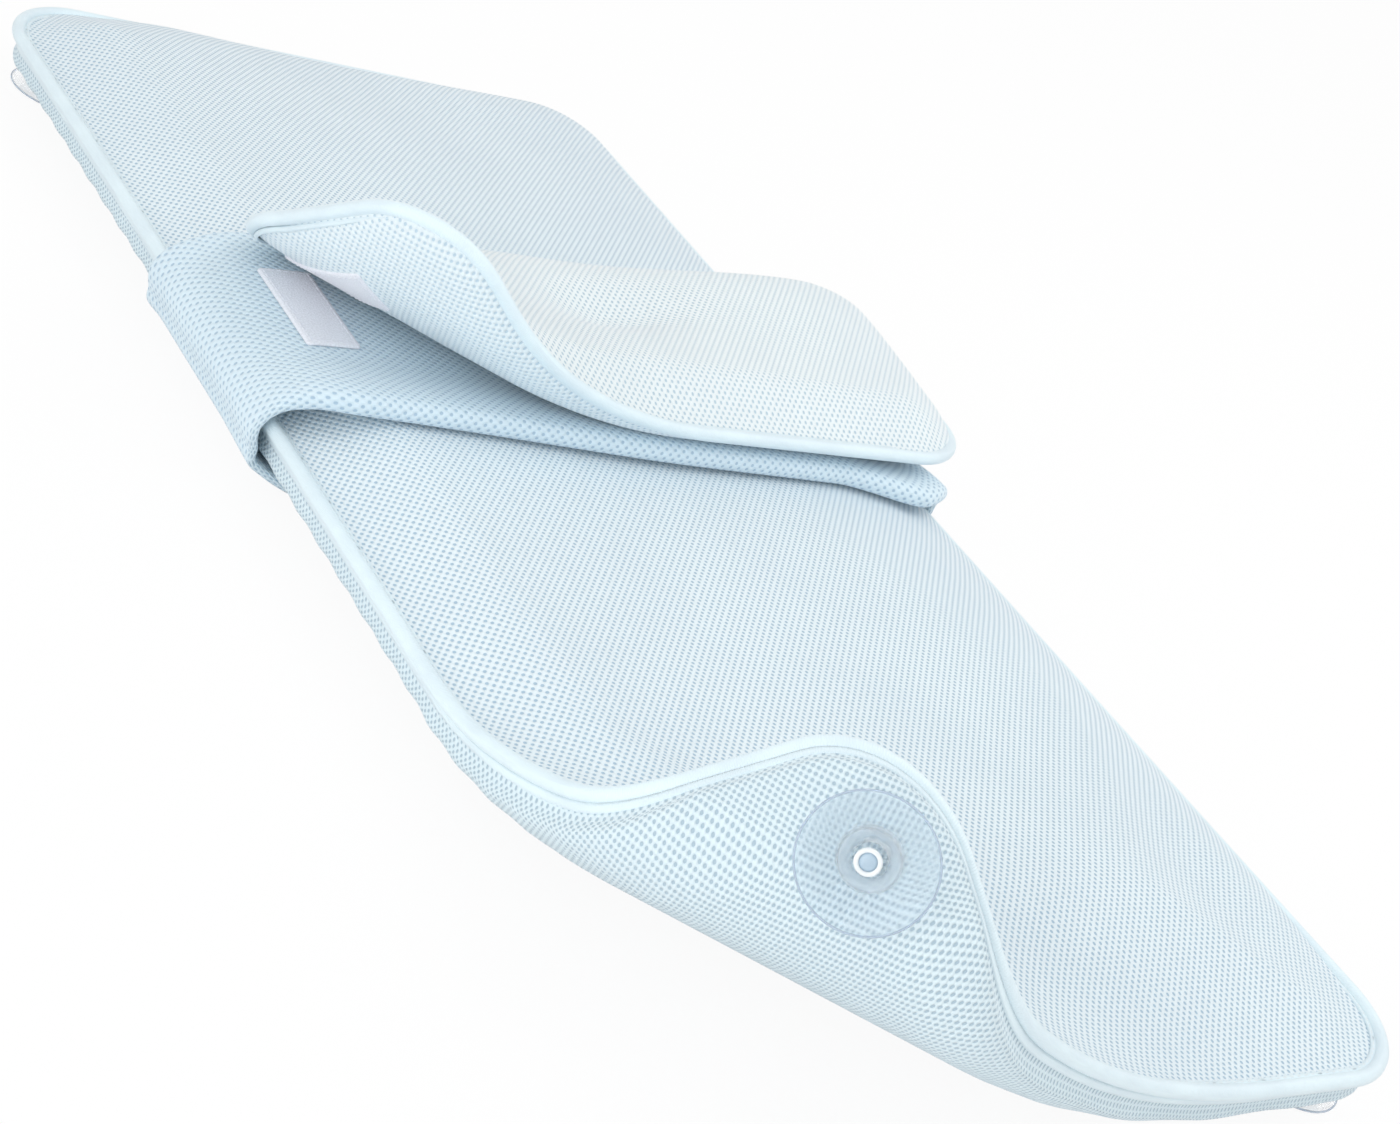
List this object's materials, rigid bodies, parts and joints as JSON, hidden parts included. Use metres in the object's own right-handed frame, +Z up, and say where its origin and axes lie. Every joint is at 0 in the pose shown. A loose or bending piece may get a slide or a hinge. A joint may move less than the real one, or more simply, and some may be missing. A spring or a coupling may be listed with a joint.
{
  "type": "full-body bath cushion",
  "caption": "Long padded spacer-mesh bath cushion with a corded edge and a turned-up corner, a sliding sleeve with a padded flap on top, and clear suction cups underneath.",
  "frame": {"origin": "on the floor plane of the suction-cup rims, under the middle of the mat", "axes": "+X to the right seen from the foot end, +Y towards the head end, +Z up"},
  "size_m": [0.4484, 0.9084, 0.1539],
  "materials": {
    "mesh": "pale blue spacer mesh",
    "sleeve_mesh": "pale blue spacer mesh",
    "filling": "white air-fibre wadding",
    "satin_piping": "satin binding",
    "patch": "hook-and-loop pile",
    "clear_vinyl": "clear flexible vinyl",
    "eyelet_vinyl": "satin vinyl"
  },
  "bodies": {
    "mat": {"mat_top_panel": "mesh", "mat_filling": "filling", "mat_bottom_panel": "mesh", "mat_piping": "satin_piping", "fold_top_panel": "mesh", "fold_filling": "filling", "fold_bottom_panel": "mesh", "fold_piping_left": "satin_piping", "fold_piping_foot": "satin_piping", "eyelet_head_left": "eyelet_vinyl", "eyelet_head_right": "eyelet_vinyl", "eyelet_foot_right": "eyelet_vinyl", "eyelet_middle_foot": "eyelet_vinyl", "eyelet_middle_head": "eyelet_vinyl"},
    "corner": {"corner_top_panel": "mesh", "corner_filling": "filling", "corner_bottom_panel": "mesh", "corner_piping": "satin_piping", "eyelet_foot_left": "eyelet_vinyl"},
    "sleeve": {"sleeve_top_panel": "sleeve_mesh", "sleeve_bottom_panel": "sleeve_mesh", "loop_patch_left": "patch", "loop_patch_right": "patch"},
    "flap": {"flap_top_panel": "mesh", "flap_filling": "filling", "flap_under_panel": "mesh", "flap_piping": "satin_piping", "hook_patch_left": "patch", "hook_patch_right": "patch"},
    "cup_head_left": {"suction_cup_head_left": "clear_vinyl"},
    "cup_head_right": {"suction_cup_head_right": "clear_vinyl"},
    "cup_foot_right": {"suction_cup_foot_right": "clear_vinyl"},
    "cup_foot_left": {"suction_cup_foot_left": "clear_vinyl"},
    "cup_middle_foot": {"suction_cup_middle_foot": "clear_vinyl"},
    "cup_middle_head": {"suction_cup_middle_head": "clear_vinyl"}
  },
  "joints": [
    {"name": "sleeve_slide", "type": "slide", "parent": "mat", "child": "sleeve", "axis": [0, 1, 0], "range_m": [-0.12, 0.12]},
    {"name": "flap_hinge", "type": "hinge", "parent": "sleeve", "child": "flap", "pos_m": [0, 0.141, 0.06975], "axis": [-1, 0, 0], "range_deg": [0, 140]},
    {"name": "corner_fold", "type": "hinge", "parent": "mat", "child": "corner", "pos_m": [-0.13138, -0.37522, 0.05674], "axis": [0.6424, -0.7654, 0.0385], "range_deg": [-20, 107.2], "deforming": ["fold_top_panel", "fold_filling", "fold_bottom_panel", "fold_piping_left", "fold_piping_foot"]},
    {"name": "cup_head_left_spin", "type": "hinge", "parent": "mat", "child": "cup_head_left", "pos_m": [-0.173, 0.413, 0], "axis": [0, 0, 1], "continuous": true},
    {"name": "cup_head_right_spin", "type": "hinge", "parent": "mat", "child": "cup_head_right", "pos_m": [0.173, 0.413, 0], "axis": [0, 0, 1], "continuous": true},
    {"name": "cup_foot_right_spin", "type": "hinge", "parent": "mat", "child": "cup_foot_right", "pos_m": [0.173, -0.413, 0], "axis": [0, 0, 1], "continuous": true},
    {"name": "cup_foot_left_spin", "type": "hinge", "parent": "corner", "child": "cup_foot_left", "pos_m": [-0.16191, -0.3973, 0.12716], "axis": [0.763, 0.5754, -0.2944], "continuous": true},
    {"name": "cup_middle_foot_spin", "type": "hinge", "parent": "mat", "child": "cup_middle_foot", "pos_m": [0, -0.2, 0], "axis": [0, 0, 1], "continuous": true},
    {"name": "cup_middle_head_spin", "type": "hinge", "parent": "mat", "child": "cup_middle_head", "pos_m": [0, 0.31, 0], "axis": [0, 0, 1], "continuous": true}
  ]
}
